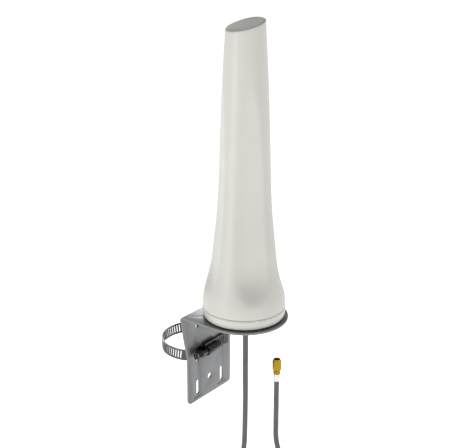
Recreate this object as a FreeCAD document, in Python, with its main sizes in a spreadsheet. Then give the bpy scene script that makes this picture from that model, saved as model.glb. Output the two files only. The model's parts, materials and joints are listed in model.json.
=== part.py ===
import FreeCAD, Part
import Sketcher
import math
import os

# Pole and wall antenna on a folded steel bracket.
# Origin: centre of the lower fixing hole, on the face of the bracket that meets the wall.
# +Y points into the wall, +Z points up the antenna, +X runs along the plate. Millimetres.

V = FreeCAD.Vector
doc = FreeCAD.newDocument("antenna")
sheet = doc.addObject("Spreadsheet::Sheet", "Size")
sheet.Label = "Sizes"

SIZES = [
    ("shelf_top", 83.0, "height of the shelf above the lower fixing hole"),
    ("antenna_y", -46.0, "antenna centre line, in front of the wall face"),
    ("sheet_t", 2.0, "bracket sheet thickness"),
    ("shelf_r", 44.0, "half width of the shelf and radius of its round front"),
    ("bend_r", 2.0, "inside radius of the fold"),
    ("plate_low", -20.0, "bottom edge of the plate"),
    ("plate_taper_z", 31.5, "height where the taper ends"),
    ("plate_narrow", 34.5, "half width of the plate below the taper"),
    ("plate_corner", 4.0, "corner radius of the plate"),
    ("slot_x", 19.5, "slot centre line either side of the middle"),
    ("slot_pitch", 38.0, "height between rows of slots"),
    ("slot_low_z", -5.0, "height of the lowest row of slots"),
    ("slot_half", 2.5, "half width of a slot"),
    ("slot_len", 17.0, "slot length end to end"),
    ("hole_r", 3.25, "lower fixing hole radius"),
    ("spigot_hole_r", 10.25, "hole in the shelf for the spigot"),
    ("mark_z", -15.6, "height of the two pressed marks"),
    ("gasket_t", 0.9, "base gasket thickness"),
    ("gasket_r", 39.8, "base gasket radius"),
    ("floor_t", 3.0, "base housing floor"),
    ("seam_z", 11.3, "top edge of the base housing"),
    ("radome_z", 11.8, "bottom edge of the radome"),
    ("radome_in", 38.9, "radome bore at its bottom"),
    ("wall", 2.5, "radome wall"),
    ("lip_r", 38.4, "lip of the base housing inside the radome"),
    ("lip_z", 16.6, "top of that lip"),
    ("seal_z", 14.2, "height of the radome seal"),
    ("seal_r", 0.95, "radius of the seal section"),
    ("boss_ring", 30.0, "radius of the ring of four screw bosses"),
    ("boss_z", 8.0, "top of the bosses"),
    ("spigot_r", 10.0, "spigot thread radius"),
    ("spigot_bore", 6.0, "cable bore in the spigot"),
    ("spigot_low", -14.0, "bottom of the spigot, from the shelf top"),
    ("nut_af", 27.0, "jam nut across flats"),
    ("cable_r", 2.7, "coax cable radius"),
    ("cable_dy", -2.5, "cable hole off the centre line"),
    ("grommet_low", -15.5, "bottom of the grommet, from the shelf top"),
    ("board_y", 0.3, "front face of the board, from the centre line"),
    ("board_t", 1.6, "board thickness"),
    ("board_half", 14.0, "half width of the board"),
    ("board_low", 16.0, "bottom of the board, from the shelf top"),
    ("board_top", 262.0, "top of the board, from the shelf top"),
    ("copper_t", 0.3, "radiator sheet thickness"),
    ("tip_z", 286.8, "height of the slanted top on the centre line"),
    ("tip_slope", 0.2625, "slope of the slanted top"),
    ("ring_y", 16.5, "centre of the clamp ring, behind the wall face"),
    ("ring_r", 35.25, "radius of the clamp ring, middle of the band"),
    ("band_t", 0.7, "clamp band thickness"),
    ("band_w", 12.0, "clamp band width"),
    ("band_z", 35.2, "height of the band centre"),
    ("screw_y", -7.9, "clamp screw axis"),
    ("worm_r", 3.9, "clamp screw thread radius"),
    ("plug_x", 21.0, "connector axis"),
    ("plug_y", -72.7, "connector axis"),
    ("plug_z", 33.0, "front end of the coupling nut"),
    ("coil_r", 30.0, "radius of the middle turn of the coil"),
    ("turn_pitch", 5.7, "distance between neighbouring turns: two layers of four"),
    ("coil_z", -125.0, "height of the coil centre"),
]
for row, (name, size, note) in enumerate(SIZES, 1):
    sheet.set("A%d" % row, name.replace("_", " "))
    sheet.set("B%d" % row, "%g" % size)
    sheet.setAlias("B%d" % row, name)
    sheet.set("C%d" % row, note)
doc.recompute()

parts = []


def num(expression):
    """The value of an expression of the sheet's sizes."""
    return float(sheet.evalExpression(str(expression)))


def keep(piece, label):
    """Name a finished sub-part and put it in the list that is exported."""
    piece.Label = label
    parts.append(piece)
    return piece


def place(piece, x, y, z):
    """Tie a piece's position to the sheet."""
    piece.setExpression("Placement.Base.x", str(x))
    piece.setExpression("Placement.Base.y", str(y))
    piece.setExpression("Placement.Base.z", str(z))
    return piece


def body_at(label, x, y, z):
    body = doc.addObject("PartDesign::Body", label)
    place(body, x, y, z)
    return keep(body, label)


def sketch_on(body, plane, name, lift="0"):
    sketch = body.newObject("Sketcher::SketchObject", name)
    flat = [item for item in body.Origin.OriginFeatures if item.Role == plane + "_Plane"][0]
    sketch.AttachmentSupport = [(flat, "")]
    sketch.MapMode = "FlatFace"
    sketch.setExpression("AttachmentOffset.Base.z", str(lift))
    return sketch


def fix_point(sketch, line, end, x, y):
    """Hold one end of a sketch line at a place given by two expressions."""
    for kind, size in (("DistanceX", x), ("DistanceY", y)):
        index = sketch.addConstraint(Sketcher.Constraint(kind, -1, 1, line, end, num(size)))
        sketch.setExpression("Constraints[%d]" % index, str(size))


def outline(sketch, points):
    """A closed polygon whose corners are tied to the sheet."""
    first = sketch.GeometryCount
    count = len(points)
    flat = [V(num(x), num(y), 0) for x, y in points]
    for i in range(count):
        sketch.addGeometry(Part.LineSegment(flat[i], flat[(i + 1) % count]), False)
    for i in range(count):
        following = first + (i + 1) % count
        sketch.addConstraint(Sketcher.Constraint("Coincident", first + i, 2, following, 1))
    for i in range(count):
        fix_point(sketch, first + i, 1, points[i][0], points[i][1])


def circle(sketch, x, y, radius):
    shape = Part.Circle(V(num(x), num(y), 0), V(0, 0, 1), num(radius))
    index = sketch.addGeometry(shape, False)
    fix_point(sketch, index, 3, x, y)
    tied = sketch.addConstraint(Sketcher.Constraint("Radius", index, num(radius)))
    sketch.setExpression("Constraints[%d]" % tied, str(radius))


def slot(sketch, x, y, half, length):
    """An upright slot with round ends."""
    cx, cy, r = num(x), num(y), num(half)
    rise = num(length) / 2 - r
    up = Part.ArcOfCircle(Part.Circle(V(cx, cy + rise, 0), V(0, 0, 1), r), 0, math.pi)
    low = Part.ArcOfCircle(Part.Circle(V(cx, cy - rise, 0), V(0, 0, 1), r), math.pi, 2 * math.pi)
    top = sketch.addGeometry(up, False)
    bottom = sketch.addGeometry(low, False)
    left = sketch.addGeometry(Part.LineSegment(V(cx - r, cy + rise, 0), V(cx - r, cy - rise, 0)), False)
    right = sketch.addGeometry(Part.LineSegment(V(cx + r, cy - rise, 0), V(cx + r, cy + rise, 0)), False)
    for a, end_a, b, end_b in ((top, 2, left, 1), (left, 2, bottom, 1), (bottom, 2, right, 1), (right, 2, top, 1)):
        sketch.addConstraint(Sketcher.Constraint("Tangent", a, end_a, b, end_b))
    reach = "(%s) / 2 - (%s)" % (length, half)
    fix_point(sketch, top, 3, x, "(%s) + %s" % (y, reach))
    fix_point(sketch, bottom, 3, x, "(%s) - (%s)" % (y, reach))
    for arc in (top, bottom):
        tied = sketch.addConstraint(Sketcher.Constraint("Radius", arc, r))
        sketch.setExpression("Constraints[%d]" % tied, str(half))


def pad(body, sketch, name, length, both=False, flip=False):
    feature = body.newObject("PartDesign::Pad", name)
    feature.Profile = sketch
    feature.setExpression("Length", str(length))
    feature.Midplane = both
    feature.Reversed = flip
    sketch.Visibility = False
    doc.recompute()
    return feature


def pocket(body, sketch, name, length=None, both=False, flip=False):
    feature = body.newObject("PartDesign::Pocket", name)
    feature.Profile = sketch
    before = body.Shape.Volume
    if length is None:
        feature.Type = "ThroughAll"
    else:
        feature.setExpression("Length", str(length))
    feature.Midplane = both
    feature.Reversed = flip
    sketch.Visibility = False
    doc.recompute()
    print(name, "removes", round(before - body.Shape.Volume, 1), "mm3")
    return feature


def turned(label, points, x, y, z):
    """A round piece: a half section, radius then height, spun about its own Z."""
    body = body_at(label, x, y, z)
    sketch = sketch_on(body, "XZ", label + "_section")
    outline(sketch, points)
    spin = body.newObject("PartDesign::Revolution", label + "_turned")
    spin.Profile = sketch
    spin.ReferenceAxis = (sketch, ["V_Axis"])
    spin.Angle = 360
    sketch.Visibility = False
    doc.recompute()
    return body


def box(name, x, y, z, length, width, height):
    """A box from its low corner."""
    item = doc.addObject("Part::Box", name)
    item.setExpression("Length", str(length))
    item.setExpression("Width", str(width))
    item.setExpression("Height", str(height))
    return place(item, x, y, z)


def rod(name, x, y, z, radius, height, along="Z"):
    """A cylinder from the middle of its first face."""
    item = doc.addObject("Part::Cylinder", name)
    item.setExpression("Radius", str(radius))
    item.setExpression("Height", str(height))
    turns = {"Z": FreeCAD.Rotation(), "X": FreeCAD.Rotation(V(0, 1, 0), 90), "Y": FreeCAD.Rotation(V(1, 0, 0), -90)}
    item.Placement = FreeCAD.Placement(V(), turns[along])
    return place(item, x, y, z)


def hexagon(name, x, y, z, flats, height, along="Z"):
    item = doc.addObject("Part::Prism", name)
    item.Polygon = 6
    item.setExpression("Circumradius", "(%s) / sqrt(3)" % flats)
    item.setExpression("Height", str(height))
    if along == "X":
        item.Placement = FreeCAD.Placement(V(), FreeCAD.Rotation(V(0, 1, 0), 90))
    if along == "Y":
        item.Placement = FreeCAD.Placement(V(), FreeCAD.Rotation(V(1, 0, 0), -90))
    return place(item, x, y, z)


def joined(name, *items):
    fused = doc.addObject("Part::MultiFuse", name)
    fused.Shapes = list(items)
    fused.Refine = True
    return fused


def minus(name, base, tool):
    cut = doc.addObject("Part::Cut", name)
    cut.Base = base
    cut.Tool = tool
    cut.Refine = True
    return cut


def together(name, items):
    group = doc.addObject("Part::Compound", name)
    group.Links = items
    return group


def made(label, shape, x=0, y=0, z=0, turn=FreeCAD.Rotation()):
    """A free-form piece that sketches and primitives do not reach, set at its place."""
    item = doc.addObject("Part::Feature", label)
    item.Shape = shape
    item.Placement = FreeCAD.Placement(V(), turn)
    return keep(place(item, x, y, z), label)


AX = "0"
AY = "Size.antenna_y"
AZ = "Size.shelf_top"

# Mounting bracket: one folded sheet, trimmed to its outline, then punched.
bracket = body_at("mounting_bracket", 0, 0, 0)
fold = sketch_on(bracket, "YZ", "fold")
outline(fold, [
    ("0", "Size.plate_low"), ("0", "Size.shelf_top"),
    ("Size.antenna_y - Size.shelf_r", "Size.shelf_top"),
    ("Size.antenna_y - Size.shelf_r", "Size.shelf_top - Size.sheet_t"),
    ("-Size.sheet_t", "Size.shelf_top - Size.sheet_t"), ("-Size.sheet_t", "Size.plate_low"),
])
blank = pad(bracket, fold, "folded_sheet", "2 * Size.shelf_r", both=True)


def edge_name(shape, centre):
    """Name of the edge whose middle is nearest a place."""
    gaps = [(edge.CenterOfMass.sub(centre).Length, i + 1) for i, edge in enumerate(shape.Edges)]
    return "Edge%d" % min(gaps)[1]


outside = bracket.newObject("PartDesign::Fillet", "bend_outside")
outside.Base = (blank, [edge_name(blank.Shape, V(0, 0, num("Size.shelf_top")))])
outside.setExpression("Radius", "Size.bend_r + Size.sheet_t")
doc.recompute()
inside = bracket.newObject("PartDesign::Fillet", "bend_inside")
inner_edge = V(0, -num("Size.sheet_t"), num("Size.shelf_top - Size.sheet_t"))
inside.Base = (outside, [edge_name(outside.Shape, inner_edge)])
inside.setExpression("Radius", "Size.bend_r")
doc.recompute()

trim = sketch_on(bracket, "XZ", "plate_trim")
for side in ("", "-"):
    outline(trim, [
        (side + "(Size.shelf_r + 5)", "Size.shelf_top - Size.bend_r - Size.sheet_t"),
        (side + "Size.shelf_r", "Size.shelf_top - Size.bend_r - Size.sheet_t"),
        (side + "Size.plate_narrow", "Size.plate_taper_z"),
        (side + "Size.plate_narrow", "Size.plate_low - 5"),
        (side + "(Size.shelf_r + 5)", "Size.plate_low - 5"),
    ])
tapered = pocket(bracket, trim, "plate_taper", both=True)

round_off = sketch_on(bracket, "XY", "shelf_trim", "Size.shelf_top - Size.sheet_t - 1")
half = num("Size.shelf_r")
mid_y = num("Size.antenna_y")
bow = Part.ArcOfCircle(Part.Circle(V(0, mid_y, 0), V(0, 0, 1), half), math.pi, 2 * math.pi)
bow_id = round_off.addGeometry(bow, False)
corners = [(half, mid_y), (half + 6, mid_y), (half + 6, mid_y - half - 6), (-half - 6, mid_y - half - 6),
           (-half - 6, mid_y), (-half, mid_y)]
sides = []
for a, b in zip(corners, corners[1:]):
    sides.append(round_off.addGeometry(Part.LineSegment(V(a[0], a[1], 0), V(b[0], b[1], 0)), False))
round_off.addConstraint(Sketcher.Constraint("Coincident", bow_id, 2, sides[0], 1))
for a, b in zip(sides, sides[1:]):
    round_off.addConstraint(Sketcher.Constraint("Coincident", a, 2, b, 1))
round_off.addConstraint(Sketcher.Constraint("Coincident", sides[-1], 2, bow_id, 1))
fix_point(round_off, bow_id, 3, "0", AY)
fix_point(round_off, sides[0], 1, "Size.shelf_r", AY)
fix_point(round_off, sides[1], 1, "Size.shelf_r + 6", AY)
fix_point(round_off, sides[2], 1, "Size.shelf_r + 6", AY + " - Size.shelf_r - 6")
fix_point(round_off, sides[3], 1, "-Size.shelf_r - 6", AY + " - Size.shelf_r - 6")
fix_point(round_off, sides[4], 1, "-Size.shelf_r - 6", AY)
pocket(bracket, round_off, "shelf_front", "Size.sheet_t + 2", flip=True)

punched = sketch_on(bracket, "XZ", "plate_holes")
circle(punched, "0", "0", "Size.hole_r")
for side in ("", "-"):
    for level in range(3):
        height = "Size.slot_low_z + %d * Size.slot_pitch" % level
        slot(punched, side + "Size.slot_x", height, "Size.slot_half", "Size.slot_len")
pocket(bracket, punched, "plate_punching", "3 * Size.bend_r + 2 * Size.sheet_t", both=True)

shelf_hole = sketch_on(bracket, "XY", "spigot_hole", "Size.shelf_top")
circle(shelf_hole, "0", AY, "Size.spigot_hole_r")
pocket(bracket, shelf_hole, "spigot_punching", "Size.sheet_t")

marks = sketch_on(bracket, "XZ", "pressed_marks", "Size.sheet_t")
for side in ("", "-"):
    outline(marks, [
        (side + "Size.slot_x - 6.5", "Size.mark_z - 0.6"), (side + "Size.slot_x + 6.5", "Size.mark_z - 0.6"),
        (side + "Size.slot_x + 6.5", "Size.mark_z + 0.6"), (side + "Size.slot_x - 6.5", "Size.mark_z + 0.6"),
    ])
marked = pocket(bracket, marks, "marks_pressed", "0.5")
corner_edges = []
for side in (1, -1):
    for place_z in ("Size.plate_low", "Size.plate_taper_z"):
        spot = V(side * num("Size.plate_narrow"), -num("Size.sheet_t") / 2, num(place_z))
        corner_edges.append(edge_name(marked.Shape, spot))
rounding = bracket.newObject("PartDesign::Fillet", "plate_corners")
rounding.Base = (marked, corner_edges)
rounding.setExpression("Radius", "Size.plate_corner")
doc.recompute()

# Base: gasket, housing with its lip, seal groove and screw bosses.
turned("base_gasket", [
    ("Size.spigot_hole_r", "0"), ("Size.gasket_r", "0"), ("Size.gasket_r", "Size.gasket_t"), ("Size.spigot_hole_r", "Size.gasket_t"),
], AX, AY, AZ)

floor_top = "Size.gasket_t + Size.floor_t"
housing = turned("base_housing", [
    ("Size.spigot_r + 0.1", "Size.gasket_t"), ("Size.lip_r + 0.4", "Size.gasket_t"), ("Size.lip_r + 1.2", "Size.gasket_t + 0.35"),
    ("Size.lip_r + 1.8", "Size.gasket_t + 1.1"), ("Size.lip_r + 2.4", "Size.gasket_t + 2.8"),
    ("Size.lip_r + 2.9", "Size.seam_z - 0.4"), ("Size.lip_r + 2.7", "Size.seam_z"), ("Size.lip_r + 2", "Size.seam_z"),
    ("Size.lip_r + 2", "Size.radome_z"), ("Size.lip_r", "Size.radome_z"),
    ("Size.lip_r", "Size.seal_z - 1"), ("Size.lip_r - 1.5", "Size.seal_z - 1"),
    ("Size.lip_r - 1.5", "Size.seal_z + 1"), ("Size.lip_r", "Size.seal_z + 1"),
    ("Size.lip_r", "Size.lip_z"), ("Size.lip_r - 3", "Size.lip_z"), ("Size.lip_r - 3", floor_top), ("Size.spigot_r + 0.1", floor_top),
], AX, AY, AZ)
boss_spots = [("cos(%d) * Size.boss_ring" % a, "sin(%d) * Size.boss_ring" % a) for a in (0, 90, 180, 270)]
bosses = sketch_on(housing, "XY", "boss_circles", floor_top)
for x, y in boss_spots:
    circle(bosses, x, y, "3.5")
pad(housing, bosses, "screw_bosses", "Size.boss_z - (%s)" % floor_top)
pilots = sketch_on(housing, "XY", "pilot_circles", "Size.boss_z")
for x, y in boss_spots:
    circle(pilots, x, y, "1.5")
pocket(housing, pilots, "pilot_holes", "5")

seal = doc.addObject("Part::Torus", "radome_seal")
seal.setExpression("Radius1", "Size.lip_r - 0.5")
seal.setExpression("Radius2", "Size.seal_r")
keep(place(seal, AX, AY, "Size.shelf_top + Size.seal_z"), "radome_seal")

# Radome: a bell with four upright flutes, closed by a slanted flat top.
BELL = [(11.8, 41.3), (18, 41.1), (27, 39.9), (36, 38.1), (46, 35.9), (58, 33.8), (72, 32.3), (88, 30.4),
        (106, 28.5), (128, 26.9), (150, 25.8), (172, 24.9), (200, 23.4), (235, 21.6), (268, 19.7),
        (290, 18.4), (300, 17.9)]
FLUTE = [(27.0, -1.0), (29.3, 1.2), (33, 3.0), (38, 4.6), (46, 5.8), (58, 6.0), (76, 5.7), (98, 5.1), (120, 4.5),
         (142, 4.0), (164, 3.4), (186, 2.6), (206, 1.6), (222, 0.5), (234, -0.7)]
FLUTE_ROUND = (62.0, 110.0)
FLUTE_TURNS = (51, 141, 231, 321)
SLANT_TURN = 338


def bell_curve(inset):
    curve = Part.BSplineCurve()
    curve.interpolate([V(radius - inset, 0, height) for height, radius in BELL])
    return curve


def radius_at(curve, height):
    low, high = curve.FirstParameter, curve.LastParameter
    for _ in range(40):
        middle = (low + high) / 2
        if curve.value(middle).z < height:
            low = middle
        else:
            high = middle
    return curve.value(low).x


def slant(drop):
    """Everything above the slanted top, lowered by the given amount."""
    block = Part.makeBox(200, 200, 80, V(-100, -100, 0))
    lean = math.degrees(math.atan(num("Size.tip_slope")))
    across = V(-math.sin(math.radians(SLANT_TURN)), math.cos(math.radians(SLANT_TURN)), 0)
    block.Placement = FreeCAD.Placement(V(0, 0, num("Size.tip_z") - drop), FreeCAD.Rotation(across, -lean))
    return block


def flute_tool(turn, inset):
    """A tapered solid that hollows one flute; the section at each height is a circle."""
    bell = bell_curve(0)
    way = V(math.cos(math.radians(turn)), math.sin(math.radians(turn)), 0)
    foot, tip = FLUTE[0][0], FLUTE[-1][0]
    rings = []
    for height, depth in FLUTE:
        share = (height - foot) / (tip - foot)
        hollow = FLUTE_ROUND[0] + (FLUTE_ROUND[1] - FLUTE_ROUND[0]) * share
        centre = way * (radius_at(bell, height) - depth + hollow) + V(0, 0, height)
        rings.append(Part.Wire([Part.Circle(centre, V(0, 0, 1), hollow + inset).toShape()]))
    return Part.makeLoft(rings, True, False)


def bell_solid(inset, low):
    curve = bell_curve(inset)
    top = curve.value(curve.LastParameter)
    foot = curve.value(curve.FirstParameter)
    loop = [curve.toShape(), Part.LineSegment(top, V(0, 0, top.z)).toShape(),
            Part.LineSegment(V(0, 0, top.z), V(0, 0, foot.z)).toShape(),
            Part.LineSegment(V(0, 0, foot.z), foot).toShape()]
    solid = Part.Face(Part.Wire(loop)).revolve(V(), V(0, 0, 1), 360)
    solid = solid.cut(slant(low)).Solids[0]
    if inset == 0:
        rim = [edge for edge in solid.Edges if edge.BoundBox.ZMin > 260 and edge.Length > 60]
        solid = solid.makeFillet(1.3, rim)
    for turn in FLUTE_TURNS:
        solid = solid.cut(flute_tool(turn, inset)).Solids[0]
    return solid


skin = bell_solid(0, 0)
hollow_inside = bell_solid(num("Size.wall"), num("Size.wall"))
foot_bore = Part.makeCylinder(num("Size.radome_in"), 5.2, V(0, 0, num("Size.radome_z")))
radome_shape = skin.cut(hollow_inside).cut(foot_bore).Solids[0]
print("radome outside", round(skin.Volume), "inside", round(hollow_inside.Volume))
radome = made("radome", radome_shape, AX, AY, AZ)
print("radome", radome.Shape.ShapeType, len(radome.Shape.Solids), round(radome.Shape.Volume), radome.Shape.isValid())

# Spigot and the fasteners that hold the antenna to the shelf.
turned("mounting_spigot", [
    ("Size.spigot_bore", "Size.spigot_low"), ("Size.spigot_r - 1", "Size.spigot_low"), ("Size.spigot_r", "Size.spigot_low + 1"),
    ("Size.spigot_r", floor_top), ("15", floor_top), ("15", "%s + 2.6" % floor_top), ("14.6", "%s + 3" % floor_top),
    ("Size.spigot_bore", "%s + 3" % floor_top),
], AX, AY, AZ)
turned("flat_washer", [
    ("Size.spigot_r + 0.3", "-3.5"), ("15", "-3.5"), ("15", "-2"), ("Size.spigot_r + 0.3", "-2"),
], AX, AY, AZ)
spring = minus("lock_ring", rod("lock_disc", AX, AY, "Size.shelf_top - 5", "14", "1.5"),
               rod("lock_bore", AX, AY, "Size.shelf_top - 5.1", "Size.spigot_r + 0.25", "1.7"))
split = box("lock_split", "8", "Size.antenna_y - 0.7", "Size.shelf_top - 5.1", "8", "1.4", "1.7")
keep(minus("lock_washer", spring, split), "lock_washer")
jam = doc.addObject("Part::MultiCommon", "jam_nut_form")
jam_cone = doc.addObject("Part::Cone", "jam_nut_corners")
jam_cone.setExpression("Radius1", "Size.nut_af / sqrt(3) - 0.9")
jam_cone.setExpression("Radius2", "Size.nut_af / sqrt(3) + 2.1")
jam_cone.Height = 6
place(jam_cone, AX, AY, "Size.shelf_top - 11")
jam.Shapes = [hexagon("jam_nut_hex", AX, AY, "Size.shelf_top - 11", "Size.nut_af", "6"), jam_cone]
keep(minus("jam_nut", jam, rod("jam_nut_bore", AX, AY, "Size.shelf_top - 11.1", "Size.spigot_r + 0.05", "6.2")), "jam_nut")

# Grommet in the spigot, and the coax with its ferrite beads inside the base.
CY = "Size.antenna_y + Size.cable_dy"
plug_body = rod("grommet_plug", AX, AY, "Size.shelf_top + Size.spigot_low", "Size.spigot_bore - 0.05", "14")
collar = rod("grommet_collar", AX, CY, "Size.shelf_top + Size.grommet_low", "3.8", "2")
grommet = joined("grommet_form", plug_body, collar)
keep(minus("cable_grommet", grommet, rod("grommet_hole", AX, CY, "Size.shelf_top - 20", "Size.cable_r", "40")),
     "cable_grommet")
jacket = rod("coax_jacket", AX, CY, "Size.shelf_top + Size.grommet_low", "Size.cable_r", "50 - Size.grommet_low")
screen = rod("coax_screen", AX, CY, "Size.shelf_top + 50", "1.9", "4")
filling = rod("coax_filling", AX, CY, "Size.shelf_top + 54", "1.45", "3")
core = rod("coax_core", AX, CY, "Size.shelf_top + 57", "0.5", "4")
keep(joined("inner_coax", jacket, screen, filling, core), "inner_coax")
beads = []
for i in range(3):
    low = "Size.shelf_top + %g" % (21 + 9 * i)
    beads.append(minus("bead_%d" % (i + 1), rod("bead_body_%d" % (i + 1), AX, CY, low, "Size.cable_r + 2.2", "8.4"),
                       rod("bead_bore_%d" % (i + 1), AX, CY, low + " - 0.1", "Size.cable_r + 0.05", "8.6")))

# Board with its two radiators, the holder, the foam rings and the small screws.
back_y = "Size.antenna_y + Size.board_y"
board_z = "Size.shelf_top + Size.board_low"
board = box("board_sheet", "-Size.board_half", back_y, board_z, "2 * Size.board_half", "Size.board_t",
            "Size.board_top - Size.board_low")
clear_bead = box("board_notch", "-5.2", back_y + " - 1", board_z + " - 1", "10.4", "4", "34.6")
drilled = joined("board_cuts", clear_bead,
                 rod("board_hole_1", "11.5", back_y + " - 1", "Size.shelf_top + 30", "1.35", "4", "Y"),
                 rod("board_hole_2", "-11.5", back_y + " - 1", "Size.shelf_top + 30", "1.35", "4", "Y"))
keep(minus("antenna_board", board, drilled), "antenna_board")
keep(together("ferrite_beads", beads), "ferrite_beads")


def radiator(label, lift, points):
    body = body_at(label, AX, AY, AZ)
    sketch = sketch_on(body, "XZ", label + "_outline", lift)
    outline(sketch, points)
    pad(body, sketch, label + "_sheet", "Size.copper_t")
    return body


radiator("upper_radiator", "-Size.board_y", [
    ("-2.5", "62"), ("2.5", "62"), ("11", "84"), ("11", "168"), ("6", "176"), ("6", "236"), ("-6", "236"),
    ("-6", "176"), ("-11", "168"), ("-11", "84"),
])
radiator("lower_radiator", "-Size.board_y - Size.board_t - Size.copper_t", [
    ("-8.5", "51"), ("8.5", "51"), ("11", "57"), ("11", "70"), ("3.5", "76"), ("3.5", "140"), ("-3.5", "140"),
    ("-3.5", "76"), ("-11", "70"), ("-11", "57"),
])
solder = box("solder_block", "-1.8", CY + " - 1.2", "Size.shelf_top + 58", "3.6",
             "Size.board_y - Size.cable_dy + 1.2", "3.2")
keep(minus("feed_solder", solder, rod("solder_bore", AX, CY, "Size.shelf_top + 57", "0.5", "6")), "feed_solder")

holder_disc = rod("holder_disc", AX, AY, "Size.shelf_top + Size.boss_z", "33.6", "2.5")
posts = []
for side, low_x in (("right", "9"), ("left", "-15.5")):
    posts.append(box("post_" + side, low_x, back_y + " - 3.5", "Size.shelf_top + Size.boss_z + 2", "6.5", "8.6", "32"))
holder = joined("holder_form", holder_disc, *posts)
holes = [rod("holder_centre", AX, AY, "Size.shelf_top + Size.boss_z - 1", "8.4", "5"),
         box("board_slot", "-Size.board_half - 0.05", back_y, board_z, "2 * Size.board_half + 0.1", "Size.board_t", "40")]
for i, (x, y) in enumerate(boss_spots):
    holes.append(rod("holder_hole_%d" % (i + 1), x, "Size.antenna_y + " + y, "Size.shelf_top + Size.boss_z - 1", "1.6", "5"))
for i, x in enumerate(("11.5", "-11.5")):
    holes.append(rod("post_hole_%d" % (i + 1), x, back_y + " - 4", "Size.shelf_top + 30", "1.25", "8.4", "Y"))
keep(minus("board_holder", holder, joined("holder_cuts", *holes)), "board_holder")

floor_screws = []
for i, (x, y) in enumerate(boss_spots):
    py = "Size.antenna_y + " + y
    base = "Size.shelf_top + Size.boss_z + 2.5"
    solid = joined("floor_screw_form_%d" % (i + 1), rod("floor_screw_head_%d" % (i + 1), x, py, base, "2.75", "2"),
                   rod("floor_screw_shank_%d" % (i + 1), x, py, base + " - 7", "1.5", "7.5"))
    floor_screws.append(minus("floor_screw_%d" % (i + 1), solid,
                              hexagon("floor_screw_key_%d" % (i + 1), x, py, base + " + 0.8", "2", "2")))
keep(together("base_screws", floor_screws), "base_screws")
small_screws = []
for i, x in enumerate(("11.5", "-11.5")):
    front = back_y + " - 3.5"
    solid = joined("board_screw_form_%d" % (i + 1),
                   rod("board_screw_head_%d" % (i + 1), x, front + " - 1.6", "Size.shelf_top + 30", "2.3", "1.6", "Y"),
                   rod("board_screw_shank_%d" % (i + 1), x, front + " - 0.5", "Size.shelf_top + 30", "1.25", "8", "Y"))
    small_screws.append(minus("board_screw_%d" % (i + 1), solid,
                              hexagon("board_screw_key_%d" % (i + 1), x, front + " - 1.7", "Size.shelf_top + 30",
                                      "1.5", "0.9", "Y")))
keep(together("board_screws", small_screws), "board_screws")
for label, low, radius in (("foam_spacer_lower", "178", "18.9"), ("foam_spacer_upper", "243", "18.1")):
    ring = rod(label + "_disc", AX, AY, "Size.shelf_top + " + low, radius, "9")
    gap = box(label + "_slot", "-Size.board_half - 0.1", back_y + " - 0.5", "Size.shelf_top + %s - 1" % low,
              "2 * Size.board_half + 0.2", "Size.board_t + 1", "11")
    keep(minus(label, ring, gap), label)

# Connector on the end of the cable, pointing up.
PX = "Size.plug_x"
PY = "Size.plug_y"
nut_form = hexagon("nut_hex", PX, PY, "Size.plug_z - 11.6", "8", "11.6")
nut_inside = joined("nut_inside", rod("nut_thread", PX, PY, "Size.plug_z - 6.9", "3.15", "7"),
                    rod("nut_groove", PX, PY, "Size.plug_z - 8.3", "3.45", "1.4"),
                    rod("nut_rear_bore", PX, PY, "Size.plug_z - 11.7", "2.85", "5"))
keep(minus("coupling_nut", nut_form, nut_inside), "coupling_nut")
turned("connector_body", [
    ("1.5", "-23"), ("2.5", "-23"), ("2.5", "-16"), ("3.2", "-16"), ("3.6", "-15.6"), ("3.6", "-12.2"),
    ("3.4", "-12"), ("2.8", "-12"), ("2.8", "-7.9"), ("2.45", "-7.9"), ("2.45", "-7.3"), ("2.8", "-7.3"),
    ("2.8", "-6.6"), ("2.3", "-6.6"), ("2.3", "-2"), ("2.05", "-2"), ("2.05", "-15"), ("1.5", "-15"),
], PX, PY, "Size.plug_z")
turned("crimp_ferrule", [
    ("2.52", "-24"), ("3.2", "-24"), ("3.3", "-23.8"), ("3.3", "-16.1"), ("2.52", "-16.1"),
], PX, PY, "Size.plug_z")
ring_form = minus("snap_ring_form", rod("snap_disc", PX, PY, "Size.plug_z - 7.85", "3.1", "0.5"),
                  rod("snap_bore", PX, PY, "Size.plug_z - 7.9", "2.47", "0.6"))
keep(minus("snap_ring", ring_form, box("snap_gap", PX, PY + " - 0.4", "Size.plug_z - 7.9", "4", "0.8", "0.6")),
     "snap_ring")
turned("connector_gasket", [
    ("2.31", "-6.6"), ("2.8", "-6.6"), ("2.8", "-5.8"), ("2.31", "-5.8"),
], PX, PY, "Size.plug_z")
turned("connector_insulator", [
    ("0.66", "-14.9"), ("2.04", "-14.9"), ("2.04", "-2.2"), ("0.66", "-2.2"),
], PX, PY, "Size.plug_z")
turned("centre_pin", [
    ("0", "-17"), ("0.65", "-17"), ("0.65", "-2.2"), ("0.46", "-2.2"), ("0.46", "-1.2"), ("0.1", "-0.6"), ("0", "-0.6"),
], PX, PY, "Size.plug_z")

# Clamp band: fixed end under the housing, round the pole, back through the other slot, out as a tail.
lie = -num("Size.sheet_t") - num("Size.band_t") / 2 - 0.05
over = lie - num("Size.band_t") - 0.1
out = num("Size.band_t") / 2 + 0.05
BEND = 1.1
CORNER = 8.0
STEP_X = -12.2
TAIL_X = 8.0
TAIL_R = 90.0
ring_mid = V(0, num("Size.ring_y"), 0)
ring_r = num("Size.ring_r")
corner_y = out + CORNER
corner_x = math.sqrt((ring_r - CORNER) ** 2 - (ring_mid.y - corner_y) ** 2)
tilt = math.degrees(math.atan2(corner_y - ring_mid.y, corner_x))
sx = num("Size.slot_x")
step_r = 2.0
step_turn = math.degrees(math.acos(1 - (lie - over) / (2 * step_r)))
step_run = step_r * math.sin(math.radians(step_turn))
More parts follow.
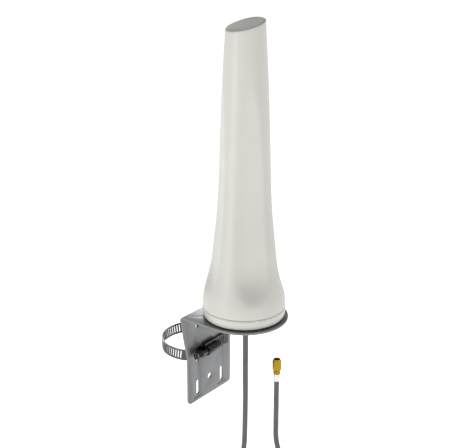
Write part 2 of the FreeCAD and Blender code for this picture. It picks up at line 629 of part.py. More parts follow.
# Each item is a run between two places or an arc: centre, radius, start angle, end angle.
path = [
    ("run", V(-11.3, lie, 0), V(sx - BEND, lie, 0)),
    ("arc", V(sx - BEND, lie + BEND, 0), BEND, -90, 0),
    ("run", V(sx, lie + BEND, 0), V(sx, out - BEND, 0)),
    ("arc", V(sx + BEND, out - BEND, 0), BEND, 180, 90),
    ("run", V(sx + BEND, out, 0), V(corner_x, out, 0)),
    ("arc", V(corner_x, corner_y, 0), CORNER, -90, tilt),
    ("arc", ring_mid, ring_r, tilt, 180 - tilt),
    ("arc", V(-corner_x, corner_y, 0), CORNER, 180 - tilt, 270),
    ("run", V(-corner_x, out, 0), V(-sx - BEND, out, 0)),
    ("arc", V(-sx - BEND, out - BEND, 0), BEND, 90, 0),
    ("run", V(-sx, out - BEND, 0), V(-sx, lie + BEND, 0)),
    ("arc", V(-sx + BEND, lie + BEND, 0), BEND, 180, 270),
    ("run", V(-sx + BEND, lie, 0), V(STEP_X - 2 * step_run, lie, 0)),
    ("arc", V(STEP_X - 2 * step_run, lie - step_r, 0), step_r, 90, 90 - step_turn),
    ("arc", V(STEP_X, over + step_r, 0), step_r, 270 - step_turn, 270),
    ("run", V(STEP_X, over, 0), V(TAIL_X, over, 0)),
    ("arc", V(TAIL_X, over - TAIL_R, 0), TAIL_R, 90, 78),
]


def point_on(centre, radius, angle):
    return V(centre.x + radius * math.cos(math.radians(angle)), centre.y + radius * math.sin(math.radians(angle)), 0)


def shifted(item, side):
    """One side of the band along one item of the path, and its two ends."""
    if item[0] == "run":
        along = item[2].sub(item[1]).normalize()
        left = V(-along.y, along.x, 0) * side
        return Part.LineSegment(item[1] + left, item[2] + left).toShape(), item[1] + left, item[2] + left
    centre, radius, start, end = item[1:]
    radius = radius - side if end > start else radius + side
    a, m, b = (point_on(centre, radius, angle) for angle in (start, (start + end) / 2, end))
    return Part.Arc(a, m, b).toShape(), a, b


half_t = num("Size.band_t") / 2
left_side = [shifted(item, half_t) for item in path]
right_side = [shifted(item, -half_t) for item in path]
loop = [item[0] for item in left_side]
loop.append(Part.LineSegment(left_side[-1][2], right_side[-1][2]).toShape())
loop += [item[0] for item in reversed(right_side)]
loop.append(Part.LineSegment(right_side[0][1], left_side[0][1]).toShape())
band_face = Part.Face(Part.Wire(Part.__sortEdges__(loop)))
band = band_face.extrude(V(0, 0, num("Size.band_w")))


def slit(where, heading):
    """A leaning slit through the band at one place, cut square to it."""
    cutter = Part.makeBox(1.3, 4, 8.4, V(-0.65, -2, -4.2))
    lean = FreeCAD.Rotation(V(0, 1, 0), 7)
    turn = FreeCAD.Rotation(V(0, 0, 1), heading)
    cutter.Placement = FreeCAD.Placement(V(where.x, where.y, num("Size.band_w") / 2), turn.multiply(lean))
    return cutter


slits = []
ring_step = 3.05 / ring_r
count = int(math.radians(180 - 2 * tilt) / ring_step)
for i in range(count):
    angle = tilt + 3 + i * math.degrees(ring_step)
    if angle < 177 - tilt:
        slits.append(slit(point_on(ring_mid, ring_r, angle), angle + 90))
for i in range(5):
    slits.append(slit(point_on(V(TAIL_X, over - TAIL_R, 0), TAIL_R, 88.5 - 1.95 * i), -1.5 - 1.95 * i))
slits.append(slit(V(-16.5, lie, 0), 0))
made("clamp_band", band.cut(slits), 0, 0, "Size.band_z - Size.band_w / 2")

HY = "Size.screw_y"
dome = rod("housing_dome", "-12", HY, "Size.band_z", "Size.worm_r + 0.95", "19", "X")
saddle = box("housing_saddle", "-12", "-5.9", "Size.band_z - Size.band_w / 2 - 1.2", "19", "3.85", "Size.band_w + 2.4")
housing_bore = rod("housing_bore", "-13", HY, "Size.band_z", "Size.worm_r + 0.05", "21", "X")
band_way = box("housing_band_way", "-13", "-4.9", "Size.band_z - Size.band_w / 2 - 0.3", "21", "4", "Size.band_w + 0.6")
keep(minus("clamp_housing", joined("housing_outside", dome, saddle), joined("housing_inside", housing_bore, band_way)),
     "clamp_housing")
worm = body_at("clamp_screw", "-11.6", HY, "Size.band_z")
section = sketch_on(worm, "XZ", "screw_section")
# Groove by groove along the thread, then the neck, the collar and the hexagon's round core.
profile = [("18", "0"), ("18", "Size.worm_r - 0.6"), ("17.4", "Size.worm_r")]
for i in range(5):
    start = 16.2 - 3.0 * i
    profile += [("%g" % start, "Size.worm_r"), ("%g" % (start - 0.5), "Size.worm_r - 0.9"),
                ("%g" % (start - 1.1), "Size.worm_r - 0.9"), ("%g" % (start - 1.6), "Size.worm_r")]
profile += [("0", "Size.worm_r"), ("0", "3"), ("-9.2", "3"), ("-9.2", "4.6"), ("-11", "4.6"), ("-11.2", "4.4"),
            ("-11.2", "3.4"), ("-12", "3.4"), ("-12", "0")]
outline(section, profile)
worm_turned = worm.newObject("PartDesign::Revolution", "screw_turned")
worm_turned.Profile = section
worm_turned.ReferenceAxis = (section, ["H_Axis"])
worm_turned.Angle = 360
doc.recompute()
head = sketch_on(worm, "YZ", "head_hexagon", "-11")
outline(head, [("cos(%d) * 8 / sqrt(3)" % a, "sin(%d) * 8 / sqrt(3)" % a) for a in range(0, 360, 60)])
pad(worm, head, "hexagon_head", "5.6", flip=True)
drive = sketch_on(worm, "YZ", "screwdriver_slot", "-16.6")
outline(drive, [("-0.6", "-6"), ("0.6", "-6"), ("0.6", "6"), ("-0.6", "6")])
pocket(worm, drive, "screwdriver_cut", "2", flip=True)

# Cable: drop from the grommet, tied coil, rise to the connector.


def tube(points, radius):
    """A round cable along straight runs joined by tangent arcs."""
    pieces = []
    last = points[0]
    for i in range(1, len(points) - 1):
        before = points[i].sub(points[i - 1])
        after = points[i + 1].sub(points[i])
        turn = before.getAngle(after)
        reach = 0.45 * min(before.Length, after.Length)
        bend = reach / math.tan(turn / 2)
        start = points[i] - before.normalize() * reach
        end = points[i] + after.normalize() * reach
        inward = (start + end) * 0.5 - points[i]
        away = bend / math.cos(turn / 2) - bend
        middle = points[i] + inward.normalize() * away
        pieces.append(Part.LineSegment(last, start).toShape())
        pieces.append(Part.Arc(start, middle, end).toShape())
        last = end
        print("cable bend radius", round(bend, 1), "mm")
    pieces.append(Part.LineSegment(last, points[-1]).toShape())
    wire = Part.Wire(pieces)
    ring = Part.Wire([Part.Circle(points[0], points[1].sub(points[0]), radius).toShape()])
    swept = wire.makePipeShell([ring], True, True)
    print("cable volume", round(swept.Volume), "section times length", round(math.pi * radius ** 2 * wire.Length))
    return swept


drop_foot = V(0, num(CY), 0)
rise_foot = V(num(PX), num(PY), 0)
along = rise_foot.sub(drop_foot)
gap_between = along.Length
along.normalize()
cable_r = num("Size.cable_r")


def at(run, height, sway=0.0):
    """A place in the upright plane of the coil: distance along it from the drop, height, sideways."""
    return drop_foot + along * run + V(-along.y, along.x, 0) * sway + V(0, 0, height)


coil_mid = at(gap_between / 2, num("Size.coil_z"))
coil_turn = FreeCAD.Rotation(V(0, 0, 1), math.degrees(math.atan2(along.y, along.x)))
coil_r = num("Size.coil_r")
bundle_x = num("Size.turn_pitch / 2 + Size.cable_r")
bundle_y = num("1.5 * Size.turn_pitch + Size.cable_r")


def bundle_block(extra, low, high):
    """A slice of the bundle of turns, with round corners, at the coil's right-hand side."""
    reach_x = bundle_x + extra
    reach_y = bundle_y + extra
    block = Part.makeBox(2 * reach_x, 2 * reach_y, high - low, V(coil_r - reach_x, -reach_y, low))
    upright = [edge for edge in block.Edges if edge.BoundBox.ZLength > (high - low) * 0.9]
    return block.makeFillet(cable_r + extra - 0.05, upright)


section = [face for face in bundle_block(0, 0, 1).Faces if face.BoundBox.ZMax < 0.01][0]
coil = section.revolve(V(), V(0, 1, 0), 360)
coil_placed = coil.copy()
coil_placed.Placement = FreeCAD.Placement(coil_mid, coil_turn)
drop_points = [at(0, num(AZ) + num("Size.grommet_low")), at(0, 36, 0.3), at(0.3, -8, -0.3), at(0, -46, 0.2),
               at(0, -74), at(-11.5, -101)]
rise_points = [at(gap_between + 11.5, -101), at(gap_between, -74), at(gap_between + 0.2, -42, 0.3),
               at(gap_between, -14, -0.2), at(gap_between, num("Size.plug_z") - 24)]
made("cable_drop", tube(drop_points, cable_r).cut(coil_placed))
made("cable_coil", coil, coil_mid.x, coil_mid.y, coil_mid.z, coil_turn)
made("cable_rise", tube(rise_points, cable_r).cut(coil_placed))
ties = []
for angle in (66, 200, 285):
    strap = bundle_block(1.2, -2.2, 2.2)
    lock = Part.makeBox(4, 6, 5, V(coil_r - bundle_x - 4.8, -3, -2.5))
    tie = strap.fuse(lock)
    tie.rotate(V(), V(0, 1, 0), -angle)
    ties.append(tie.cut(coil).removeSplitter())
made("coil_ties", Part.makeCompound(ties), coil_mid.x, coil_mid.y, coil_mid.z, coil_turn)

doc.recompute()
for item in doc.Objects:
    bad = [state for state in item.State if state in ("Invalid", "Error")]
    if bad:
        raise RuntimeError("%s is %s" % (item.Label, bad))
os.makedirs("parts", exist_ok=True)
for piece in parts:
    shape = piece.Shape
    if shape.isNull() or not shape.isValid() or not shape.Solids:
        raise RuntimeError("%s has no good shape" % piece.Label)
    shape.exportStep("parts/%s.step" % piece.Label)
    print("%-20s solids %d volume %.0f" % (piece.Label, len(shape.Solids), shape.Volume))
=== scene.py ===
import json
import math

import bpy
from bpy.props import FloatProperty, FloatVectorProperty, IntProperty, PointerProperty
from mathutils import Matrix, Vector
from mathutils.bvhtree import BVHTree


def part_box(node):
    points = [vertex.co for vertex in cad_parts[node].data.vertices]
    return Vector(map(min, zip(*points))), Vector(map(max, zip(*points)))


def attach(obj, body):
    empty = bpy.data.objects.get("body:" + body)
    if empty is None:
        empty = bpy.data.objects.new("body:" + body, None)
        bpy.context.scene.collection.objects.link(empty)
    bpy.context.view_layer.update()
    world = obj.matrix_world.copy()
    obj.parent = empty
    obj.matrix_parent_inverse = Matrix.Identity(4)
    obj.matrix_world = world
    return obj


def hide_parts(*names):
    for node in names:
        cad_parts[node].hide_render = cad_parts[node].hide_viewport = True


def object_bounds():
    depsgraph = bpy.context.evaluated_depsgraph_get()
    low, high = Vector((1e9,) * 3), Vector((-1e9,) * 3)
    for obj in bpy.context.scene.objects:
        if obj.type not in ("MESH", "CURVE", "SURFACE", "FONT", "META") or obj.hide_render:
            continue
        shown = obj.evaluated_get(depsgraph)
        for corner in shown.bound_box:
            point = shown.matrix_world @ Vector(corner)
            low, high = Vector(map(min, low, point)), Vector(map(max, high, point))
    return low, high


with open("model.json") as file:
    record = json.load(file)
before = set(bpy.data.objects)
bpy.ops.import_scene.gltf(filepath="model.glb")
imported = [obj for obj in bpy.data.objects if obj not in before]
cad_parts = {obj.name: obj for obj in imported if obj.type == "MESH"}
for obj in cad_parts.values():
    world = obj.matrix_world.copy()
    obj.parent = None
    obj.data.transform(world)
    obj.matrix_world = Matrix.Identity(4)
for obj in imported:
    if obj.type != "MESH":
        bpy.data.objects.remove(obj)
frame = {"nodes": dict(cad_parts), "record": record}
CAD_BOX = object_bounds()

bl_info = {
    "name": "Pole and wall antenna",
    "version": (1, 0, 0),
    "blender": (4, 5, 0),
    "location": "3D View > Sidebar > Antenna",
    "description": "Finishes for a bell-shaped antenna, its shelf bracket, pole clamp and coax lead",
    "category": "Object",
}


# ---------------------------------------------------------------- properties


class AntennaSizes(bpy.types.PropertyGroup):
    cable_diameter: FloatProperty(name="Cable diameter", description="Outside of the coax jacket",
                                  default=0.0054, unit="LENGTH")
    cable_length: FloatProperty(name="Cable length", description="From the grommet to the ferrule",
                                default=1.76, unit="LENGTH")
    coil_radius: FloatProperty(name="Coil radius", description="Middle of the turns of the put-away coil",
                               default=0.030, unit="LENGTH")
    turn_pitch: FloatProperty(name="Turn pitch", description="Distance between neighbouring turns",
                              default=0.0057, unit="LENGTH")
    coil_height: FloatProperty(name="Coil height", description="Height of the coil's centre",
                               default=-0.125, unit="LENGTH")
    turn_points: IntProperty(name="Points per turn", description="Control points in one turn of the coil", default=16)
    radome_wall: FloatProperty(name="Radome wall", description="Thickness of the moulded bell",
                               default=0.0025, unit="LENGTH")
    rim_round: FloatProperty(name="Rim round", description="Round on the edge of the slanted top",
                             default=0.0013, unit="LENGTH")
    flute_ease: IntProperty(name="Flute ease", description="How far the flutes' edges are softened", default=34)
    sheet_edge: FloatProperty(name="Sheet edge", description="Round on the bracket's punched edges",
                              default=0.00028, unit="LENGTH")
    moulded_edge: FloatProperty(name="Moulded edge", description="Round on moulded and turned edges",
                                default=0.0003, unit="LENGTH")


class AntennaColours(bpy.types.PropertyGroup):
    radome: FloatVectorProperty(name="Radome", description="Off-white moulded plastic", subtype="COLOR",
                                size=3, min=0, max=1, default=(0.74, 0.73, 0.675))
    bracket: FloatVectorProperty(name="Bracket", description="Cold rolled sheet", subtype="COLOR",
                                 size=3, min=0, max=1, default=(0.23, 0.233, 0.238))
    stainless: FloatVectorProperty(name="Stainless", description="Clamp and small hardware", subtype="COLOR",
                                   size=3, min=0, max=1, default=(0.095, 0.09, 0.09))
    nickel: FloatVectorProperty(name="Nickel", description="Plated spigot, nut and ferrule", subtype="COLOR",
                                size=3, min=0, max=1, default=(0.72, 0.71, 0.69))
    gold: FloatVectorProperty(name="Gold", description="Plated connector", subtype="COLOR",
                              size=3, min=0, max=1, default=(0.38, 0.25, 0.019))
    jacket: FloatVectorProperty(name="Jacket", description="Coax jacket", subtype="COLOR",
                                size=3, min=0, max=1, default=(0.085, 0.085, 0.08))


class AntennaView(bpy.types.PropertyGroup):
    camera_place: FloatVectorProperty(name="Camera place", description="Where the camera stands", subtype="XYZ",
                                      unit="LENGTH", size=3, default=(-0.7255, -0.5923, 0.5021))
    camera_turn: FloatProperty(name="Camera turn", description="Turn about the upright", subtype="ANGLE",
                               default=math.radians(-51.84))
    camera_dip: FloatProperty(name="Camera dip", description="How far the camera looks down", subtype="ANGLE",
                              default=math.radians(19.62))
    camera_lens: FloatProperty(name="Lens", description="Focal length on a 36 mm wide sensor", default=80.0)
    floor_gap: FloatProperty(name="Floor gap", description="Floor below the lowest point", default=0.004, unit="LENGTH")


def sizes():
    return bpy.context.scene.antenna_sizes


def colours():
    return bpy.context.scene.antenna_colours


def view():
    return bpy.context.scene.antenna_view


# ---------------------------------------------------------------- materials


def new_material(name):
    """An empty node material with its shader, and the object's own coordinates."""
    made = bpy.data.materials.new(name + "_finish")
    made.use_nodes = True
    tree = made.node_tree
    shader = tree.nodes["Principled BSDF"]
    place = tree.nodes.new("ShaderNodeTexCoord")
    return made, tree, shader, place.outputs["Object"]


def stretch(tree, source, scale, turn=(0, 0, 0)):
    """Coordinates scaled apart, so that a pattern runs longer one way."""
    mapping = tree.nodes.new("ShaderNodeMapping")
    mapping.inputs["Scale"].default_value = scale
    mapping.inputs["Rotation"].default_value = turn
    tree.links.new(source, mapping.inputs["Vector"])
    return mapping.outputs["Vector"]


def noise(tree, source, scale, detail=4.0, rough=0.55):
    texture = tree.nodes.new("ShaderNodeTexNoise")
    texture.inputs["Scale"].default_value = scale
    texture.inputs["Detail"].default_value = detail
    texture.inputs["Roughness"].default_value = rough
    tree.links.new(source, texture.inputs["Vector"])
    return texture.outputs["Fac"]


def between(tree, factor, low, high):
    """A value that runs from low to high as the factor runs through its usual middle range."""
    spread = tree.nodes.new("ShaderNodeMapRange")
    spread.inputs["From Min"].default_value = 0.3
    spread.inputs["From Max"].default_value = 0.7
    spread.inputs["To Min"].default_value = low
    spread.inputs["To Max"].default_value = high
    tree.links.new(factor, spread.inputs["Value"])
    return spread.outputs["Result"]


def shade_between(tree, factor, low, high):
    ramp = tree.nodes.new("ShaderNodeValToRGB")
    ramp.color_ramp.elements[0].position = 0.32
    ramp.color_ramp.elements[1].position = 0.68
    ramp.color_ramp.elements[0].color = (*low, 1)
    ramp.color_ramp.elements[1].color = (*high, 1)
    tree.links.new(factor, ramp.inputs["Fac"])
    return ramp.outputs["Color"]


def bump(tree, shader, height, strength, distance):
    relief = tree.nodes.new("ShaderNodeBump")
    relief.inputs["Strength"].default_value = strength
    relief.inputs["Distance"].default_value = distance
    tree.links.new(height, relief.inputs["Height"])
    tree.links.new(relief.outputs["Normal"], shader.inputs["Normal"])


def tinted(colour, amount):
    return tuple(min(1.0, max(0.0, part * amount)) for part in colour)


def moulded(name, colour, roughness=0.42, cloud=0.03, grain=2600.0, relief=0.12, coat=0.0):
    """Moulded plastic: faint clouding, a fine spark-eroded grain and uneven gloss."""
    made, tree, shader, place = new_material(name)
    clouds = noise(tree, place, 14.0, 3.0)
    shade = shade_between(tree, clouds, tinted(colour, 1 - cloud), tinted(colour, 1 + cloud))
    tree.links.new(shade, shader.inputs["Base Color"])
    fine = noise(tree, place, grain, 2.0)
    tree.links.new(between(tree, noise(tree, place, 60.0, 5.0), roughness - 0.05, roughness + 0.06),
                   shader.inputs["Roughness"])
    shader.inputs["Coat Weight"].default_value = coat
    shader.inputs["Coat Roughness"].default_value = 0.25
    bump(tree, shader, fine, relief, 0.00006)
    return made


def rolled(name, colour, roughness=0.36, lines=(9.0, 1500.0, 1500.0), relief=0.18, stain=0.06, metal=1.0):
    """Rolled or drawn metal: fine lines one way, with faint stains over them."""
    made, tree, shader, place = new_material(name)
    grain = noise(tree, stretch(tree, place, lines), 1.0, 5.0, 0.6)
    stains = noise(tree, place, 55.0, 6.0, 0.65)
    shade = shade_between(tree, stains, tinted(colour, 1 - stain), tinted(colour, 1 + stain))
    streaked = tree.nodes.new("ShaderNodeMix")
    streaked.data_type = "RGBA"
    streaked.blend_type = "MULTIPLY"
    streaked.inputs["Factor"].default_value = 0.35
    tree.links.new(shade, streaked.inputs["A"])
    tree.links.new(shade_between(tree, grain, (0.82, 0.82, 0.82), (1, 1, 1)), streaked.inputs["B"])
    tree.links.new(streaked.outputs["Result"], shader.inputs["Base Color"])
    tree.links.new(between(tree, grain, roughness - 0.07, roughness + 0.09), shader.inputs["Roughness"])
    shader.inputs["Metallic"].default_value = metal
    bump(tree, shader, grain, relief, 0.00004)
    return made


def plated(name, colour, roughness=0.2, dull=0.08):
    """Bright plating over turned metal: soft mottling and tiny scratches."""
    made, tree, shader, place = new_material(name)
    mottle = noise(tree, place, 420.0, 5.0, 0.6)
    shade = shade_between(tree, mottle, tinted(colour, 1 - dull), tinted(colour, 1 + dull))
    tree.links.new(shade, shader.inputs["Base Color"])
    scratch = noise(tree, stretch(tree, place, (1.0, 1.0, 14.0)), 900.0, 4.0)
    tree.links.new(between(tree, scratch, roughness - 0.06, roughness + 0.12), shader.inputs["Roughness"])
    shader.inputs["Metallic"].default_value = 1.0
    bump(tree, shader, scratch, 0.1, 0.00003)
    return made


def jacket_material():
    """Extruded PVC: long faint drawing lines and a waxy gloss."""
    made, tree, shader, place = new_material("cable_jacket")
    colour = colours().jacket
    drawn = noise(tree, stretch(tree, place, (1.0, 1.0, 0.04)), 1300.0, 3.0)
    shade = shade_between(tree, noise(tree, place, 90.0, 4.0), tinted(colour, 0.85), tinted(colour, 1.2))
    tree.links.new(shade, shader.inputs["Base Color"])
    tree.links.new(between(tree, drawn, 0.24, 0.36), shader.inputs["Roughness"])
    shader.inputs["Specular IOR Level"].default_value = 0.65
    bump(tree, shader, drawn, 0.12, 0.00004)
    return made


def rubber_material(name="rubber"):
    """Black rubber with a dusty bloom."""
    made, tree, shader, place = new_material(name)
    shade = shade_between(tree, noise(tree, place, 120.0, 5.0), (0.012, 0.012, 0.012), (0.03, 0.03, 0.031))
    tree.links.new(shade, shader.inputs["Base Color"])
    tree.links.new(between(tree, noise(tree, place, 300.0), 0.6, 0.8), shader.inputs["Roughness"])
    bump(tree, shader, noise(tree, place, 1800.0, 2.0), 0.2, 0.00005)
    return made


def laminate_material():
    """Green masked board with the weave of its glass cloth showing through."""
    made, tree, shader, place = new_material("board_laminate")
    weave = tree.nodes.new("ShaderNodeTexChecker")
    weave.inputs["Scale"].default_value = 1600.0
    weave.inputs["Color1"].default_value = (0.020, 0.13, 0.055, 1)
    weave.inputs["Color2"].default_value = (0.026, 0.16, 0.066, 1)
    tree.links.new(place, weave.inputs["Vector"])
    tree.links.new(weave.outputs["Color"], shader.inputs["Base Color"])
    tree.links.new(between(tree, noise(tree, place, 200.0), 0.22, 0.34), shader.inputs["Roughness"])
    bump(tree, shader, weave.outputs["Fac"], 0.08, 0.00003)
    return made


def foam_material():
    """White closed-cell foam."""
    made, tree, shader, place = new_material("foam")
    cells = tree.nodes.new("ShaderNodeTexVoronoi")
    cells.inputs["Scale"].default_value = 900.0
    tree.links.new(place, cells.inputs["Vector"])
    shade = shade_between(tree, cells.outputs["Distance"], (0.86, 0.86, 0.84), (0.74, 0.74, 0.72))
    tree.links.new(shade, shader.inputs["Base Color"])
    shader.inputs["Roughness"].default_value = 0.9
    bump(tree, shader, cells.outputs["Distance"], 0.6, 0.0003)
    return made


def build_materials():
    """Every finish, by the name of the slot that it belongs to."""
    tint = colours()
    return {
        "white_plastic": moulded("white_plastic", tint.radome, 0.40, 0.015, 2600.0, 0.10, 0.12),
        "bracket_steel": rolled("bracket_steel", tint.bracket, 0.36, (1500.0, 1500.0, 9.0), 0.15, 0.05, 0.75),
        "stainless": rolled("stainless", tint.stainless, 0.22, (60.0, 60.0, 1700.0), 0.15, 0.05),
        "nickel": plated("nickel", tint.nickel, 0.22),
        "gold": plated("gold", tint.gold, 0.24, 0.06),
        "cable_jacket": jacket_material(),
        "rubber": rubber_material(),
        "ferrite": moulded("ferrite", (0.055, 0.055, 0.06), 0.5, 0.2, 900.0, 0.4),
        "board_laminate": laminate_material(),
        "copper": plated("copper", (0.80, 0.42, 0.26), 0.3, 0.12),
        "solder": plated("solder", (0.68, 0.68, 0.68), 0.34, 0.05),
        "black_plastic": moulded("black_plastic", (0.022, 0.022, 0.023), 0.45, 0.15, 1500.0, 0.2),
        "foam": foam_material(),
        "ptfe": moulded("ptfe", (0.84, 0.84, 0.82), 0.35, 0.02, 1200.0, 0.06),
    }


# ---------------------------------------------------------------- shaping helpers


def nothing_selected():
    if bpy.context.object and bpy.context.object.mode != "OBJECT":
        bpy.ops.object.mode_set(mode="OBJECT")
    bpy.ops.object.select_all(action="DESELECT")


def make_active(piece):
    nothing_selected()
    piece.select_set(True)
    bpy.context.view_layer.objects.active = piece


def body_of_node(node):
    for body, members in frame["record"]["behaviour"]["bodies"].items():
        if node in members:
            return body
    raise RuntimeError("no body holds " + node)


def slot_of_node(node):
    for entry in frame["record"]["subparts"]:
        if entry["node"] == node:
            return entry["material_slot"]
    raise RuntimeError("no slot for " + node)


def dress(piece, slot, body):
    """Give a finished piece the material made for its slot, and the body that it rides on."""
    piece.data.materials.clear()
    piece.data.materials.append(bpy.data.materials[slot + "_finish"])
    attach(piece, body)


def finished(node, smooth=35.0, edge=0.0, flatten=0.0):
    """A merged, smooth copy of a node with its sharp edges rounded, standing in for the node."""
    source = frame["nodes"][node]
    piece = bpy.data.objects.new(node + "_finished", source.data.copy())
    bpy.context.scene.collection.objects.link(piece)
    make_active(piece)
    bpy.ops.object.mode_set(mode="EDIT")
    bpy.ops.mesh.select_all(action="SELECT")
    bpy.ops.mesh.remove_doubles(threshold=0.000004)
    if flatten:
        bpy.ops.mesh.dissolve_limited(angle_limit=math.radians(flatten))
    bpy.ops.object.mode_set(mode="OBJECT")
    if edge:
        bevel = piece.modifiers.new("edge", "BEVEL")
        bevel.width = edge
        bevel.segments = 2
        bevel.limit_method = "ANGLE"
        bevel.angle_limit = math.radians(50)
        bevel.use_clamp_overlap = True
        bpy.ops.object.modifier_apply(modifier=bevel.name)
    bpy.ops.object.shade_smooth_by_angle(angle=math.radians(smooth))
    dress(piece, slot_of_node(node), body_of_node(node))
    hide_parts(node)
    return piece


# ---------------------------------------------------------------- radome


def radome_shell():
    """The bell as one even skin over the designed surface, with its flute edges softened and a true wall."""
    node = frame["nodes"]["radome"]
    mesh = node.data
    surface = BVHTree.FromPolygons([tuple(v.co) for v in mesh.vertices], [tuple(f.vertices) for f in mesh.polygons])
    low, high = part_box("radome")
    axis = Vector(((low[0] + high[0]) / 2, (low[1] + high[1]) / 2, 0))
    around, rows, rim_rows, cap_rows = 200, 140, 4, 8
    rim = sizes().rim_round

    def lid(x, y):
        hit = surface.ray_cast(Vector((x, y, high[2] + 0.05)), Vector((0, 0, -1)))[0]
        return hit.z

    def skin(way, height):
        start = axis + way * 0.2
        start.z = height
        hit = surface.ray_cast(start, -way)[0]
        return (Vector((hit.x, hit.y, 0)) - axis).length

    middle = lid(axis.x, axis.y)
    tilt_x = (lid(axis.x + 0.01, axis.y) - middle) / 0.01
    tilt_y = (lid(axis.x, axis.y + 0.01) - middle) / 0.01
    columns = []
    for i in range(around + 1):
        turn = 2 * math.pi * i / around
        way = Vector((math.cos(turn), math.sin(turn), 0))
        reach = 0.018
        for _ in range(3):
            top = middle + (tilt_x * way.x + tilt_y * way.y) * reach
            reach = skin(way, top - 1.5 * rim)
        foot = low[2] + 0.00005
        shoulder = top - 1.05 * rim
        column = []
        for row in range(rows + 1):
            height = foot + (shoulder - foot) * row / rows
            column.append(axis + way * skin(way, min(height, top - 1.5 * rim)) + Vector((0, 0, height)))
        for row in range(1, rim_rows + 1):
            bend = math.pi / 2 * row / rim_rows
            inward = reach - rim * (1 - math.cos(bend))
            column.append(axis + way * inward + Vector((0, 0, shoulder + 1.05 * rim * math.sin(bend))))
        edge = reach - rim
        for row in range(1, cap_rows + 1):
            inward = edge * (1 - row / cap_rows)
            column.append(axis + way * inward
                          + Vector((0, 0, middle + (tilt_x * way.x + tilt_y * way.y) * inward)))
        columns.append(column)
    total = rows + rim_rows + cap_rows
    nothing_selected()
    bpy.ops.mesh.primitive_grid_add(x_subdivisions=around, y_subdivisions=total, size=1.0)
    shell = bpy.context.object
    shell.name = "radome_shell"
    soft = shell.vertex_groups.new(name="soft")
    for vertex in shell.data.vertices:
        i = round((vertex.co.x + 0.5) * around)
        row = round((vertex.co.y + 0.5) * total)
        vertex.co = columns[i % around][row]
        fade = min(1.0, row / 3.0) * min(1.0, max(0.0, (rows - 10 - row) / 10.0))
        soft.add([vertex.index], fade, "REPLACE")
    bpy.ops.object.mode_set(mode="EDIT")
    bpy.ops.mesh.select_all(action="SELECT")
    bpy.ops.mesh.remove_doubles(threshold=0.00001)
    bpy.ops.mesh.normals_make_consistent(inside=False)
    bpy.ops.object.mode_set(mode="OBJECT")
    ease = shell.modifiers.new("ease", "SMOOTH")
    ease.factor = 0.5
    ease.iterations = sizes().flute_ease
    ease.vertex_group = "soft"
    bpy.ops.object.modifier_apply(modifier=ease.name)
    wall = shell.modifiers.new("wall", "SOLIDIFY")
    wall.thickness = sizes().radome_wall
    wall.offset = -1.0
    bpy.ops.object.modifier_apply(modifier=wall.name)
    bpy.ops.object.shade_smooth_by_angle(angle=math.radians(50))
    dress(shell, "white_plastic", "antenna")
    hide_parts("radome")
    return shell


# ---------------------------------------------------------------- cable route

DROP_FOOT = Vector((0.0, -0.0485, 0.0))
RISE_FOOT = Vector((0.021, -0.0727, 0.0))
GAP = (RISE_FOOT - DROP_FOOT).length
ALONG = (RISE_FOOT - DROP_FOOT).normalized()
SIDEWAYS = Vector((-ALONG.y, ALONG.x, 0.0))


def at(run, height, sway=0.0):
    """A place in the coil's upright plane: distance from the drop, height, and sideways off it."""
    return DROP_FOOT + ALONG * run + SIDEWAYS * sway + Vector((0, 0, height))


def lay_of_turn(step):
    """Radius and sideways place of one turn: four outside, then four back inside."""
    pitch = sizes().turn_pitch
    if step < 4:
        return sizes().coil_radius + pitch / 2, (step - 1.5) * pitch
    return sizes().coil_radius - pitch / 2, (5.5 - step) * pitch


def coil_points(first, last, shift_from=60.0, shift_over=90.0):
    """Control points round the coil; each turn moves over to its next place in one part of the circle."""
    pace = 360.0 / sizes().turn_points
    lift = 1 / math.cos(math.radians(pace / 2))
    points = []
    angle = first
    while angle <= last:
        passed = (angle - shift_from) / 360.0
        step = int(math.floor(passed)) if passed > 0 else -1
        share = min(1.0, (angle - shift_from - 360.0 * step) / shift_over)
        share = share * share * (3 - 2 * share)
        before = lay_of_turn(max(step - 1, 0))
        after = lay_of_turn(max(step, 0))
        radius = before[0] + (after[0] - before[0]) * share
        sway = before[1] + (after[1] - before[1]) * share
        if step == 4:
            sway += 0.0034 * math.sin(math.pi * share)
        flat = math.radians(angle)
        points.append(at(GAP / 2 + radius * lift * math.cos(flat), sizes().coil_height + radius * lift * math.sin(flat),
                         sway))
        angle += pace
    return points


def cable_route():
    """The whole lead: down from the grommet, round the tied coil and up to the plug."""
    drop = [at(0, 0.0675), at(0, 0.036, 0.0003), at(0.0003, -0.008, -0.0003), at(0, -0.046, 0.0002),
            at(-0.0004, -0.064), at(-0.0025, -0.080, -0.0025), at(-0.0070, -0.093, -0.0062),
            at(-0.0118, -0.105, -0.0088)]
    coil = coil_points(165.0, 7 * 360.0 + 292.0)
    middle = GAP / 2
    height = sizes().coil_height
    leaving = [(312, 0.0276, -0.0112), (330, 0.0290, -0.0140), (347, 0.0322, -0.0146), (2, 0.0362, -0.0144)]
    out = [at(middle + radius * math.cos(math.radians(turn)), height + radius * math.sin(math.radians(turn)), sway)
           for turn, radius, sway in leaving]
    rise = [at(GAP + 0.0205, -0.110, -0.0125), at(GAP + 0.0155, -0.097, -0.0085), at(GAP + 0.0085, -0.084, -0.0045),
            at(GAP + 0.0028, -0.072, -0.0012), at(GAP + 0.0002, -0.058), at(GAP + 0.0002, -0.042, 0.0003),
            at(GAP, -0.014, -0.0002), at(GAP, 0.009)]
    return drop + coil + out + rise


# ---------------------------------------------------------------- operators


